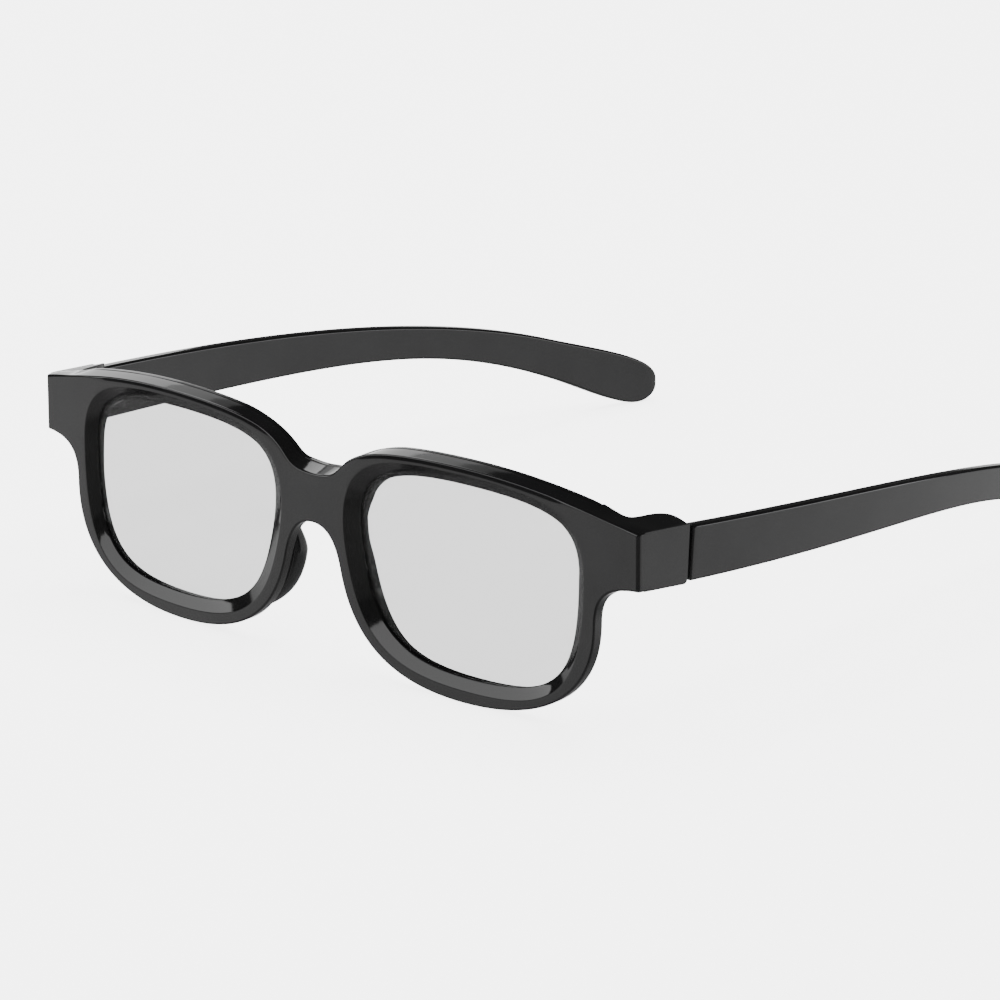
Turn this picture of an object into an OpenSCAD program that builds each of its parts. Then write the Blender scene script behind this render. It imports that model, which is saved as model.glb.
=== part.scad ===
// Passive 3D glasses: two-shell front, film lenses, folding arms on pinned hinges.
// +Z is up, the front faces -Y, and left is the wearer's left, at +X.
// Heights are above the surface that the rims and the arm tips stand on.
// Depths run back from the foremost point of the front, which is at y = 0 before placing.

/* [Front] */
// Width across the outer corners of the end pieces
frame_w = 146; // [143:1:156]
// Radius of the wrap of the front, seen from above
wrap_r = 541; // [400:10:900]
// Height of the top of the brow
brow_z = 43.9; // [42.5:0.1:47]
// Rise of the brow's top from its front edge to the back of the rear shell
brow_rise = 1; // [0.5:0.1:1.4]
// Depth at which that rise starts
rise_d = 0.5; // [0.3:0.1:1]
// Half distance between the highest points of the two brows
brow_x = 34; // [32:0.5:36]
// Height of the top of the bridge
saddle_z = 35.9; // [33:0.1:38]
// Height of the top of the nose arch
arch_z = 26.6; // [24:0.1:29]
// Half width of the nose gap, beside the pads
nose_x = 6.7; // [5.5:0.1:8]
// Height at which that half width is taken
nose_z = 19; // [16:0.5:21]
// Half width across the outsides of the rims
rim_x = 63.9; // [62.5:0.1:65]
// Height of the widest point of the rims
rim_z = 20.5; // [18:0.5:22]
// Height of the top of an end piece at its front corner
end_top_z = 38.7; // [37.5:0.1:40]
// Height of the underside of an end piece at its front corner
end_bottom_z = 28.3; // [27.5:0.1:29]
// Downward slope of the underside of the end pieces, in degrees
end_slope = 5.9; // [4:0.1:8]
// How far the top of an end piece falls from its front corner to its end face
end_fall = 1; // [0.5:0.1:1.5]
// Slope of the top of an end face, up towards the hinge, in degrees
end_tilt = 18.3; // [12:0.1:20]
// Depth of the top of the end face of an end piece, behind which the arm starts
end_d = 18; // [17:0.05:19.5]
// Lean of the end faces, forwards towards the underside, in degrees
end_lean = 3.4; // [0:0.1:5]
// Radius of the upright outer corners of the front
corner_r = 0.8; // [0.6:0.1:2]

/* [Rims] */
// Width of the rim above a lens
rim_top_w = 2.8; // [2.6:0.1:3.6]
// Width of the rim outside a lens
rim_side_w = 4.4; // [3.8:0.1:5.5]
// Width of the rim below a lens
rim_bottom_w = 4.5; // [3.8:0.1:5.5]
// Width of the rim beside the nose
rim_nose_w = 4.7; // [4.2:0.1:5.5]
// Depth of the chamfer round each lens opening
chamfer_d = 1.4; // [1:0.1:1.6]
// Width of the chamfer above a lens
chamfer_top_w = 1.7; // [1:0.1:1.9]
// Width of the chamfer outside a lens
chamfer_side_w = 2.1; // [1:0.1:2.6]
// Width of the chamfer below a lens
chamfer_bottom_w = 2.15; // [1:0.05:2.6]
// Width of the chamfer beside the nose
chamfer_nose_w = 2.9; // [1.5:0.1:3.2]
// Depth of the straight lip behind the chamfer
lip_d = 0.4; // [0.2:0.05:0.6]
// Depth of the front shell round the lower rims
front_d = 2.2; // [2:0.1:2.6]
// Depth of the front shell along the brow
brow_d = 3.3; // [3:0.1:4]
// Thickness of the brow's wall behind the front face
brow_t = 1.3; // [1:0.05:1.35]
// Depth of the back of the rear shell along the brow
rear_d = 4.5; // [4.2:0.1:6]
// Depth of the back of the rear shell round the lower rims
rim_back_d = 3.6; // [3.4:0.1:4.2]
// How far the rear shell is set in from the front outline
rear_inset = 1.6; // [1.5:0.05:1.9]
// How far the rear shell's ledge shows inside a lens opening
ledge_w = 0.1; // [0.1:0.1:1.2]

/* [Nose pads] */
// Height of a nose pad behind the rear shell's brow
pad_h = 3.2; // [1.5:0.1:4]
// Bulge of a nose pad into the nose gap
pad_bulge = 0.9; // [0.2:0.1:1.2]
// Width of a nose pad's root on the rear shell
pad_root_w = 2.8; // [2.4:0.1:3.2]

/* [Lenses] */
// Thickness of a retarder film
retarder_t = 0.2; // [0.1:0.05:0.3]
// Thickness of a polariser sheet
polariser_t = 0.6; // [0.4:0.05:0.8]
// How far a lens runs under the rim
lens_lap = 1.1; // [0.8:0.05:1.15]

/* [Arms] */
// Depth from the front to the tips of the arms
overall_d = 166.3; // [156:0.1:176]
// How far the arms bow out past the end pieces' front corners
bow_out = 2.2; // [1.6:0.1:3]
// Depth of the widest place of the arms
bow_y = 53; // [48:1:60]
// Radius of the arms' bow, seen from above
bow_r = 411; // [350:1:500]
// Thickness of an arm
arm_t = 2.4; // [2.2:0.1:2.8]
// How far an arm's top edge starts below the end piece's
arm_drop = 0.25; // [0:0.05:0.6]
// How far an arm's lower edge starts above the end piece's
arm_lift = 0.3; // [0:0.05:1]
// Lean of the arms' front faces, forwards towards the underside, in degrees
arm_lean = 4.6; // [0:0.1:6]
// Length of the drooping tip
tip_l = 26.3; // [22:0.1:30]
// Height of the top of the arm where the tip begins
tip_top_z = 17.4; // [15:0.1:19]
// Height of the underside of the arm where the tip begins
tip_bottom_z = 8.4; // [7:0.1:10]
// Height of the rearmost point of the tip
tip_end_z = 4; // [3:0.1:5]
// Distance from that point forwards to where the tip stands
tip_foot = 4.6; // [3.5:0.1:6]

/* [Hinges] */
// Distance of a hinge axis in from the end piece's front corner
hinge_in = 4; // [3.8:0.1:4.3]
// Distance of the middle of a hinge below the top of the end face
hinge_drop = 4.3; // [4.1:0.05:4.5]
// Outer radius of the knuckles
knuckle_r = 2.75; // [2.5:0.05:2.9]
// Height of an arm's middle knuckle
knuckle_h = 3; // [2.6:0.1:3.2]
// Height of each fixed knuckle
lug_t = 1.3; // [1.2:0.05:1.4]
// Length of the web that joins an arm to its knuckle
web_l = 7.2; // [6:0.1:9]
// Thickness of that web where it runs out on the arm
web_t = 1.4; // [1:0.1:2]
// Distance of the hinge block's inner wall in from the end piece's front corner
wall_in = 4.4; // [4.2:0.1:4.6]
// Size of the sweep from the back of the brow into that wall
wall_root = 2.6; // [1.8:0.1:3]
// Size of the rounding from that wall into the end face
wall_round = 3; // [2.4:0.1:3.2]
// Thickness of the end piece's side wall below the fixed knuckles
side_wall_t = 2.8; // [2.4:0.1:3.2]
// Radius of a hinge pin
pin_r = 0.7; // [0.5:0.05:0.9]
// Length of a hinge pin
pin_l = 5.5; // [5.3:0.05:5.6]

/* [Clearances] */
// Gap between an end piece and its arm
arm_gap = 1; // [0.6:0.05:1.2]
// Gap between moving knuckles
knuckle_gap = 0.3; // [0.2:0.05:0.4]
// Gap round a pin where it is held
pin_held = 0.01; // [0.01:0.01:0.02]
// Gap round a pin where an arm turns on it
pin_running = 0.05; // [0.02:0.01:0.1]
// Gap between a pin and the closed end of its hole
pin_end_gap = 0.1; // [0.05:0.05:0.3]
// Gap between the two shells
shell_gap = 0.05; // [0.02:0.01:0.1]
// Gap round the edge of a lens
lens_edge_gap = 0.15; // [0.05:0.05:0.2]
// Gap between the layers of a lens and the shells
layer_gap = 0.02; // [0.01:0.01:0.05]

/* [Hidden] */
plastic = [0.06, 0.06, 0.065];
lens_grey = [0.6, 0.6, 0.6, 0.5];
steel = [0.7, 0.7, 0.72];
$fn = 96;
fine = 720;

// Points on each curve of an outline
steps = 14;
// How far shapes that are fused run into each other, and cutting shapes run past what they cut
lap = 0.5;
over = 1;
tall = brow_z + brow_rise + 4 * over;

// The front surface and the outer face of the left arm, seen from above
function wrap_y(x) = wrap_r - sqrt(wrap_r * wrap_r - x * x);
function arm_x(y) = half_w + bow_out - bow_r + sqrt(bow_r * bow_r - (y - bow_y) * (y - bow_y));

// Cubic curve from a to b without its end point, leaving and arriving at the given angles
function way(angle) = [cos(angle), sin(angle)];
function bez(a, b, c, d, t) =
    pow(1 - t, 3) * a + 3 * pow(1 - t, 2) * t * b + 3 * (1 - t) * t * t * c + t * t * t * d;
function curve(a, angle_a, b, angle_b, pull) =
    let (chord = norm(b - a), c = a + pull[0] * chord * way(angle_a), d = b - pull[1] * chord * way(angle_b))
    [for (i = [0 : steps - 1]) bez(a, c, d, b, i / steps)];

// Points moved along their outward normals: a closed loop, or an open line
function across(t) = [-t[1], t[0]] / norm(t);
function loop_moved(p, w) =
    let (n = len(p))
    [for (i = [0 : n - 1]) p[i] + (is_list(w) ? w[i] : w) * across(p[(i + 1) % n] - p[(i + n - 1) % n])];
function line_moved(p, w) =
    let (last = len(p) - 1)
    [for (i = [0 : last]) p[i] + w * across(p[min(i + 1, last)] - p[max(i - 1, 0)])];
function reversed(p) = [for (i = [len(p) - 1 : -1 : 0]) p[i]];
function whole(half) = concat(half, [for (p = reversed(half)) if (p[0] > 0.001) [-p[0], p[1]]]);
function ease(a, b, x) = let (t = min(1, max(0, (x - a) / (b - a)))) t * t * (3 - 2 * t);
function mean(p) = [for (i = [0 : len(p) - 1]) 1] * p / len(p);

// Lens layers, one behind the other
seat_d = chamfer_d + lip_d;
retarder_d = seat_d + layer_gap;
polariser_d = retarder_d + retarder_t + layer_gap;
lens_back_d = polariser_d + polariser_t + layer_gap;

// End pieces: plan of the hinge block, and the heights of its edges at the end face
half_w = frame_w / 2;
sag = wrap_y(half_w);
rear_end_x = rim_x - rear_inset;
block_x = rear_end_x + shell_gap;
block_y = wrap_y(block_x);
block_back_y = block_y + rear_d + shell_gap;
end_back_z = end_top_z - end_fall;
end_back_low_z = end_bottom_z - (end_d - sag) * tan(end_slope);

// Hinge: its axis lies in the end face, with room for the arm's knuckle between the fixed ones
hinge_x = half_w - hinge_in;
hinge_y = end_d;
hinge_z = end_back_z - hinge_drop;
slot_h = knuckle_h + 2 * knuckle_gap;
slot_r = knuckle_r + knuckle_gap;
lug_low = hinge_z - slot_h / 2 - lug_t;
lug_high = hinge_z + slot_h / 2 + lug_t;
pin_z = lug_low + pin_end_gap;

// Half outline of the front, clockwise from the top of the bridge to the nose arch
saddle = [0, saddle_z];
brow = [brow_x, brow_z];
end_top = [half_w, end_top_z];
end_bottom = [half_w, end_bottom_z];
rim_side = [rim_x, rim_z];
rim_low = [brow_x + 2, 0];
nose = [nose_x, nose_z];
arch = [0, arch_z];
nose_angle = 102.7;
end_angle = -14;
top_curve = concat(
    curve(saddle, 0, brow, 0, [0.31, 0.84]),
    curve(brow, 0, end_top, end_angle, [0.41, 0.26]),
    [end_top]);
end_curve = curve(end_bottom, 180, rim_side, -90, [0.54, 0.46]);
low_curve = concat(
    curve(rim_side, -90, rim_low, 180, [0.36, 0.55]),
    curve(rim_low, 180, nose, nose_angle, [0.515, 0.36]),
    curve(nose, nose_angle, arch, 180, [0.455, 0.385]),
    [arch]);
outline = whole(concat(top_curve, end_curve, low_curve));
full_top = reversed(whole(reversed(top_curve)));

// Outline of the rear shell, set in from the front's and ending beside the hinge blocks
rear_top = [for (p = line_moved(full_top, -rear_inset)) if (abs(p[0]) < rear_end_x) p];
rear_top_z = rear_top[0][1];
rear_outline = concat([[-rear_end_x, rear_top_z]], rear_top, [[rear_end_x, rear_top_z]],
                      line_moved(whole(low_curve), -rear_inset));

// Strips along the brow: the front shell's wall, the rear shell's edge behind it, and the ridge below
brow_wall = concat(full_top, reversed(line_moved(full_top, -brow_t)));
ridge_low = reversed(line_moved(full_top, -rim_top_w - lap));
rear_brow = concat(full_top, ridge_low);
rear_ridge = concat(line_moved(full_top, -rear_inset), ridge_low);

// Lens opening of the left side, clockwise from its top
eye_top = [brow_x - 1, brow_z - rim_top_w];
eye_out = [rim_x - rim_side_w, rim_z + 8];
eye_low = [brow_x + 3.5, rim_bottom_w];
eye_nose = [nose_x + rim_nose_w, nose_z + 2.8];
eye_angle = 103.3;
eye = concat(
    curve(eye_top, 0, eye_out, -90, [0.715, 0.325]),
    curve(eye_out, -90, eye_low, 180, [0.6, 0.54]),
    curve(eye_low, 180, eye_nose, eye_angle, [0.605, 0.4]),
    curve(eye_nose, eye_angle, eye_top, 0, [0.535, 0.69]));
chamfer_ws = [chamfer_top_w, chamfer_side_w, chamfer_bottom_w, chamfer_nose_w];
eye_chamfer = [for (i = [0 : len(eye) - 1])
    let (k = floor(i / steps), t = i / steps - k, s = t * t * (3 - 2 * t))
    chamfer_ws[k] * (1 - s) + chamfer_ws[(k + 1) % 4] * s];

// Side view of an arm, as depth and height, clockwise from its upper front corner
arm_y = end_d + arm_gap;
tip_y = overall_d - tip_l;
arm_top = [arm_y, end_back_z - arm_drop];
arm_low_z = end_back_low_z + arm_lift;
arm_bottom = [arm_y - (arm_top[1] - arm_low_z) * tan(arm_lean), arm_low_z];
tip_top = [tip_y, tip_top_z];
tip_bottom = [tip_y + 1.5, tip_bottom_z];
tip_end = [overall_d, tip_end_z];
tip_low = [overall_d - tip_foot, 0];
tip_top_angle = -20;
tip_bottom_angle = 155.6;
arm_side = concat(
    curve(arm_top, -5.7, tip_top, tip_top_angle, [0.4, 0.264]),
    curve(tip_top, tip_top_angle, tip_end, -90, [0.5, 0.18]),
    curve(tip_end, -90, tip_low, 180, [0.377, 0.426]),
    curve(tip_low, 180, tip_bottom, tip_bottom_angle, [0.205, 0.405]),
    curve(tip_bottom, tip_bottom_angle, arm_bottom, 175.6, [0.3, 0.55]),
    [arm_bottom]);

// Plan of the web behind an arm's knuckle, from the hinge axis
web_angle = 115;
web_x = arm_x(hinge_y + web_l) - arm_t - hinge_x;
web = [[0, 0], [knuckle_r, 0], [knuckle_r, arm_y - hinge_y], [web_x + lap, web_l],
       [web_x - web_t, web_l], knuckle_r * way(web_angle)];

// Puts the finished pieces' origin under the middle of the glasses
module placed() {
    translate([0, -overall_d / 2, 0]) children();
}

module both() {
    children();
    mirror([1, 0, 0]) children();
}

// Front-view shape as a slab that runs from depth y0 to depth y1
module slab(y0, y1) {
    translate([0, y1, 0]) rotate([90, 0, 0]) linear_extrude(y1 - y0) children();
}

// Curved layer of the front between two depths, with the given outline
module wrapped(points, d0, d1) {
    intersection() {
        slab(d0 - over, sag + d1 + over) polygon(points);
        difference() {
            translate([0, wrap_r + d0, -over]) cylinder(h = tall, r = wrap_r, $fn = fine);
            translate([0, wrap_r + d1, -2 * over]) cylinder(h = tall + 2 * over, r = wrap_r, $fn = fine);
        }
    }
}

// Solid through a list of rings with equal numbers of points, closed by a fan at each end
module loft(rings) {
    n = len(rings[0]);
    last = len(rings) - 1;
    points = concat([for (r = rings) each r], [mean(rings[0]), mean(rings[last])]);
    first_middle = len(points) - 2;
    last_middle = len(points) - 1;
    sides = [for (k = [0 : last - 1], i = [0 : n - 1])
        let (j = (i + 1) % n, a = k * n + i, b = k * n + j, c = b + n, d = a + n)
        each [[a, b, c], [a, c, d]]];
    first_cap = [for (i = [0 : n - 1]) [(i + 1) % n, i, first_middle]];
    last_cap = [for (i = [0 : n - 1]) [last * n + i, last * n + (i + 1) % n, last_middle]];
    polyhedron(points, concat(sides, first_cap, last_cap));
}

// The chamfer and lip of one lens opening, to be cut out
module eye_cut() {
    widened = loop_moved(eye, (1 + lap / chamfer_d) * eye_chamfer);
    loft([
        [for (p = eye) [p[0], wrap_y(p[0]) + front_d + lap, p[1]]],
        [for (p = eye) [p[0], wrap_y(p[0]) + chamfer_d, p[1]]],
        [for (p = widened) [p[0], wrap_y(p[0]) - lap, p[1]]]]);
}

// Rise of the brow's top at a given width and depth, with none on the bridge or the end pieces
function rise_at(x, d) = brow_rise * (d - rise_d) / (rear_d - rise_d)
    * ease(0.15 * brow_x, 0.47 * brow_x, abs(x)) * (1 - ease(rim_x - 6, rim_x + 2, abs(x)));

// Sloping top of the brow between two depths, sunk a little into what carries it
module brow_slope(d0, d1) {
    sunk = 0.05;
    line = [for (p = reversed(full_top)) if (abs(p[0]) < rim_x + 3) p];
    loft([for (i = [0 : 2 : len(line) - 1])
        let (x = line[i][0], z = line[i][1], y = wrap_y(x), low = z - brow_t / 2)
        [[x, y + d0, low], [x, y + d1, low],
         [x, y + d1, z + rise_at(x, d1) - sunk], [x, y + d0, z + rise_at(x, d0) - sunk]]]);
}

// Hinge block behind one outer corner, with its fixed knuckles
module end_block() {
    wall_x = half_w - wall_in;
    root_x = wall_x - wall_root;
    root = [root_x, wrap_y(root_x) + rear_d];
    wall = [wall_x, end_d - wall_round];
    wall_end = [wall_x + wall_round, end_d];
    side_front = [half_w, sag];
    side_back = [arm_x(end_d), end_d];
    past = over / (end_d - sag) * (side_back - side_front);
    plan = concat(
        [[block_x, block_y + lap], side_front, side_back + past, wall_end + [0, past[1]]],
        reversed(concat(curve(root, 7, wall, 74, [0.4, 0.5]),
                        curve(wall, 74, wall_end, 0, [0.4, 0.5]), [wall_end])),
        [[block_x, block_y + rear_d]]);
    inner_x = block_x - corner_r;
    tops = concat([for (p = top_curve) if (p[0] > inner_x) p], [end_top + [bow_out, 0]]);
    lows = [end_bottom + [bow_out, 0], [inner_x, end_bottom_z]];
    top_zs = [for (p = tops) min(p[1], end_back_z + (side_back[0] - p[0]) * tan(end_tilt))];
    front = [for (p = concat(tops, lows)) [p[0], block_y, p[1]]];
    back = concat([for (i = [0 : len(tops) - 1]) end_point(tops[i][0], top_zs[i])],
                  [for (p = lows) end_point(p[0], end_back_low_z)]);
    difference() {
        intersection() {
            loft([back, front]);
            linear_extrude(tall) polygon(plan);
        }
        translate([block_x - over, block_back_y, -over])
            cube([half_w - side_wall_t - block_x + over, end_d, lug_low + over]);
    }
    translate([hinge_x, hinge_y, lug_low]) cylinder(h = lug_high - lug_low, r = knuckle_r);
}

// Point of the leaning end face at a given width and height
function end_point(x, z) = [x, end_d - (end_back_z - z) * tan(end_lean), z];

// Room in the hinge block for the arm's knuckle and the pin
module hinge_cut() {
    translate([hinge_x, hinge_y, hinge_z - slot_h / 2]) cylinder(h = slot_h, r = slot_r);
    translate([hinge_x, hinge_y, 0]) cylinder(h = pin_z + pin_l + pin_end_gap, r = pin_r + pin_held);
}

// What is cut from an upright outer corner to round it
module corner_cut() {
    size = corner_r + over;
    middle = [half_w - corner_r, wrap_y(half_w - corner_r) + corner_r];
    translate([0, 0, -over]) linear_extrude(tall) difference() {
        translate(middle - [0, size]) square(size);
        translate(middle) circle(corner_r);
    }
}

module front_frame() {
    color(plastic) placed() difference() {
        union() {
            wrapped(outline, 0, front_d);
            wrapped(brow_wall, front_d - lap, brow_d);
            brow_slope(rise_d, brow_d - 0.05);
            both() end_block();
        }
        both() {
            eye_cut();
            wrapped(loop_moved(eye, lens_lap + lens_edge_gap), seat_d, brow_d + over);
            hinge_cut();
            corner_cut();
        }
    }
}

// One nose pad: half-oval sections along the side of the nose gap, swelling towards the middle
module nose_pad() {
    from = round(1.45 * steps);
    to = round(2.4 * steps);
    root_d = front_d + lap;
    sunk = pad_root_w - rear_inset - lap;
    oval = [for (a = [-90 : 15 : 90]) way(a)];
    rings = [for (i = [from + 1 : to - 1])
        let (out = across(low_curve[i + 1] - low_curve[i - 1]),
             swell = pow(sin(180 * (i - from - 0.5) / (to - from - 1)), 0.8),
             reach = sunk + swell * (pad_root_w + pad_bulge - sunk),
             back_d = rim_back_d - lap + swell * (rear_d + pad_h + lap - rim_back_d),
             half_d = (back_d - root_d) / 2)
        [for (q = oval)
            let (p = low_curve[i] + (reach * q[0] - pad_root_w) * out)
            [p[0], wrap_y(p[0]) + root_d + half_d * (1 + q[1]), p[1]]]];
    loft(rings);
}

module rear_frame() {
    color(plastic) placed() difference() {
        union() {
            wrapped(rear_outline, front_d + shell_gap, rim_back_d);
            intersection() {
                union() {
                    wrapped(rear_brow, brow_d + shell_gap, rear_d);
                    wrapped(rear_ridge, front_d + shell_gap, rear_d);
                    brow_slope(brow_d + shell_gap + 0.05, rear_d - 0.05);
                }
                translate([-rear_end_x, -over, -over]) cube([2 * rear_end_x, sag + rear_d + over, tall]);
            }
            both() nose_pad();
        }
        both() {
            wrapped(loop_moved(eye, -ledge_w), front_d - lap, rear_d + over);
            wrapped(loop_moved(eye, lens_lap + lens_edge_gap), front_d - lap, lens_back_d);
        }
    }
}

module left_retarder() {
    color(lens_grey) placed() wrapped(loop_moved(eye, lens_lap), retarder_d, retarder_d + retarder_t);
}

module right_retarder() {
    mirror([1, 0, 0]) left_retarder();
}

module left_polariser() {
    color(lens_grey) placed() wrapped(loop_moved(eye, lens_lap), polariser_d, polariser_d + polariser_t);
}

module right_polariser() {
    mirror([1, 0, 0]) left_polariser();
}

// Plate of the left arm, between its two bowed faces
module arm_plate() {
    intersection() {
        rotate([90, 0, 90]) linear_extrude(frame_w) polygon(arm_side);
        translate([half_w + bow_out - bow_r, bow_y, -over]) difference() {
            cylinder(h = tall, r = bow_r, $fn = fine);
            translate([0, 0, -over]) cylinder(h = tall + 2 * over, r = bow_r - arm_t, $fn = fine);
        }
    }
}

module left_temple() {
    color(plastic) placed() difference() {
        union() {
            difference() {
                arm_plate();
                translate([hinge_x, hinge_y, 0]) cylinder(h = lug_high + knuckle_gap, r = slot_r);
            }
            translate([hinge_x, hinge_y, hinge_z - knuckle_h / 2]) {
                cylinder(h = knuckle_h, r = knuckle_r);
                linear_extrude(knuckle_h) polygon(web);
            }
        }
        translate([hinge_x, hinge_y, 0]) cylinder(h = tall, r = pin_r + pin_running);
    }
}

module right_temple() {
    mirror([1, 0, 0]) left_temple();
}

module left_hinge_pin() {
    color(steel) placed() translate([hinge_x, hinge_y, pin_z]) cylinder(h = pin_l, r = pin_r);
}

module right_hinge_pin() {
    mirror([1, 0, 0]) left_hinge_pin();
}

front_frame();
rear_frame();
left_retarder();
left_polariser();
right_retarder();
right_polariser();
left_temple();
right_temple();
left_hinge_pin();
right_hinge_pin();
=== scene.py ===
# Looks of the passive 3D glasses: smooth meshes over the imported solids, finishes, light and camera.
# Lengths are in millimetres, as in the part's source, and become metres where a mesh is made. The table,
# lights and camera are in metres.
# A depth runs back from the curved front face, y from the foremost point, and z up from the table.
import math

import bmesh
import bpy
import numpy as np
from mathutils import Matrix, Vector


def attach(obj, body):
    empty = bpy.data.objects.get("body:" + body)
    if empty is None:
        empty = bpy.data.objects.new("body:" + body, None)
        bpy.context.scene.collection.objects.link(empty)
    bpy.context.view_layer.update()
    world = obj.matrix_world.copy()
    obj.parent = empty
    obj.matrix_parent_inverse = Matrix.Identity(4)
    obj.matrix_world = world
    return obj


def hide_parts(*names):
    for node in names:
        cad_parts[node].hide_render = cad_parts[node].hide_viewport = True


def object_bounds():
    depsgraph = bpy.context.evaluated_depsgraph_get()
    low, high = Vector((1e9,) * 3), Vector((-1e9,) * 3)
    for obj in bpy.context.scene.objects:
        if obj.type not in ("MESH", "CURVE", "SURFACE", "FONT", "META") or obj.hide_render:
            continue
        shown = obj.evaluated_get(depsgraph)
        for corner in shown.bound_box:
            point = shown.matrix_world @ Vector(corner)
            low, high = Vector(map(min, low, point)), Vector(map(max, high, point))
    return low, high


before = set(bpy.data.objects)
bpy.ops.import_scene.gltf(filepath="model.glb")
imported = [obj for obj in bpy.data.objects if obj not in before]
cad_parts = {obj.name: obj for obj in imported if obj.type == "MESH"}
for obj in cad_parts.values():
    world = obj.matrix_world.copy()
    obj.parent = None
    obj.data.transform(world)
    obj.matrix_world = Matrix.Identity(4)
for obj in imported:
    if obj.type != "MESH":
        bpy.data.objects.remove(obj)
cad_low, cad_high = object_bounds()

MM = 0.001
overall_d = (cad_high[1] - cad_low[1]) / MM

# Fineness of the meshes, and the handle that makes a cubic curve round
outline_step = 0.6
CURVE_STEPS = 60
ROUND_HANDLE = 0.5523
SMOOTH_ANGLE = math.radians(40)
WELD, SLIVER = 0.002 * MM, 0.001 * MM

# Front
half_w = 73
wrap_r = 541
brow_x, brow_z = 34, 44.1
brow_rise, rise_d = 0.6, 0.5
saddle_z = 35.9
arch_z = 26.6
nose_x, nose_z = 6.7, 19
rim_x, rim_z = 63.9, 20.5
end_top_z, end_bottom_z = 38.7, 28.3
end_slope = math.tan(math.radians(5.9))
end_flare, flare_x = 0.055, 66
end_d, end_lean = 18.0, 0.6
end_back_x, end_back_z, end_back_tilt = half_w + 0.7, 37.7, 0.33
end_crown, crown_d = 0.5, 0.7
bridge_rise = 0.28
corner_r = 0.75

# Stretches of the half width where one form of the front passes into the next
bridge_fade = (2, 9)
brow_start, brow_finish = (9, 20), (60, 67)
band_start, band_finish = (4, 14), (54, 62)
end_start, crown_start, under_start = (61, 67), (65, 72), (64, 68)
seam_finish = (58, 61)

# Rims
rim_top_w, rim_side_w, rim_bottom_w, rim_nose_w = 3.0, 4.4, 4.5, 4.7
chamfer_ws = [1.7, 2.1, 2.15, 2.9]
chamfer_d = 1.4
seat_d = 1.8
front_d, brow_d, brow_t = 2.2, 3.3, 1.3
rear_d, rim_back_d, rear_inset, ledge_w = 4.5, 3.6, 1.6, -0.4
ledge_top_w, ledge_nose_w, ledge_corner_w = 1.0, 0.25, 0.1
shell_gap = 0.05
pocket_w = 1.0

# Nose pads
pad_h, pad_bulge, pad_root_w, pad_lean = 2.2, 1.1, 2.6, 0.15
pad_start, pad_stop, pad_taper = 1.4, 2.45, 1.4

# Lenses
lens_lap = 0.95
retarder_d, retarder_t = 1.82, 0.2
polariser_d, polariser_t = 2.04, 0.6
lens_back_d = 2.66

# Arms
bow_out, bow_y, bow_r = 2.2, 53, 411
arm_t = 2.4
arm_gap, arm_lean = 1.0, 0.8
arm_top_z, arm_bottom_z = 37.45, 27.25
tip_y, tip_top_z, tip_bottom_z = overall_d - 26.3, 17.4, 8.4
tip_end_z, tip_foot = 4, 4.6

# Hinges
hinge_x, hinge_y, hinge_z = 69.0, 18.0, 33.4
knuckle_r, knuckle_h, lug_t = 2.75, 3.0, 1.3
knuckle_gap = 0.3
web_l, web_t, web_angle = 7.2, 1.4, 115
side_wall_x = 70.2
pin_r = 0.7
pin_top_z = 35.9

# Roundings that the mouldings show
edge_r = 0.4
brow_band_w, brow_band_d, brow_edge_r = 1.1, 0.3, 0.25
lip_r = 0.12
chamfer_edge_r = 0.12
seam_r = 0.12
rear_edge_r = 0.5
ledge_edge_r = 0.3
arm_edge_r, arm_top_r = 0.45, 0.6
end_heel_r = 1.0


# Curves

def way(angle):
    """Unit vector at an angle in degrees."""
    return np.array([math.cos(math.radians(angle)), math.sin(math.radians(angle))])


def cubic(a, c, d, b, t):
    """Point at t of the cubic curve from a to b with handles c and d."""
    return (1 - t) ** 3 * a + 3 * (1 - t) ** 2 * t * c + 3 * (1 - t) * t ** 2 * d + t ** 3 * b


def round_corner(a, corner, b, t):
    """Point at t of the rounding of a corner that runs from a to b."""
    return cubic(a, a + ROUND_HANDLE * (corner - a), b + ROUND_HANDLE * (corner - b), b, t)


def curve(a, angle_a, b, angle_b, pull, steps=CURVE_STEPS):
    """Cubic curve from a to b without its end point, leaving and arriving at the given angles.

    The pull gives the lengths of its two handles as shares of the chord.
    """
    a, b = np.array(a, float), np.array(b, float)
    chord = np.linalg.norm(b - a)
    c = a + pull[0] * chord * way(angle_a)
    d = b - pull[1] * chord * way(angle_b)
    return cubic(a, c, d, b, np.arange(steps)[:, None] / steps)


def joined(*lines):
    """Lines and single points as one line."""
    return np.concatenate([np.atleast_2d(np.array(line, float)) for line in lines])


def lengths(line):
    """Distance along a line at each of its points."""
    return np.concatenate([[0], np.cumsum(np.linalg.norm(np.diff(line, axis=0), axis=1))])


def at_lengths(line, where):
    """Points of a line at the given distances along it."""
    along = lengths(line)
    return np.stack([np.interp(where, along, line[:, k]) for k in range(line.shape[1])], axis=1)


def evenly(line, step):
    """The line with its points spread evenly, about a step apart."""
    total = lengths(line)[-1]
    return at_lengths(line, np.linspace(0, total, max(2, round(total / step) + 1)))


def trimmed(line, start, end):
    """The line without the given lengths at its two ends."""
    along = lengths(line)
    total = along[-1]
    inside = line[(along > start + 1e-6) & (along < total - end - 1e-6)]
    return joined(at_lengths(line, [start]), inside, at_lengths(line, [total - end]))


def bend(a, corner, b, steps):
    """Points between a and b on a rounded corner, without its two ends."""
    return round_corner(a, corner, b, (np.arange(steps - 1)[:, None] + 1) / steps)


def smoothstep(low, high, value):
    """Smooth passage from 0 at low to 1 at high."""
    t = np.clip((np.asarray(value, float) - low) / (high - low), 0, 1)
    return t * t * (3 - 2 * t)


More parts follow.
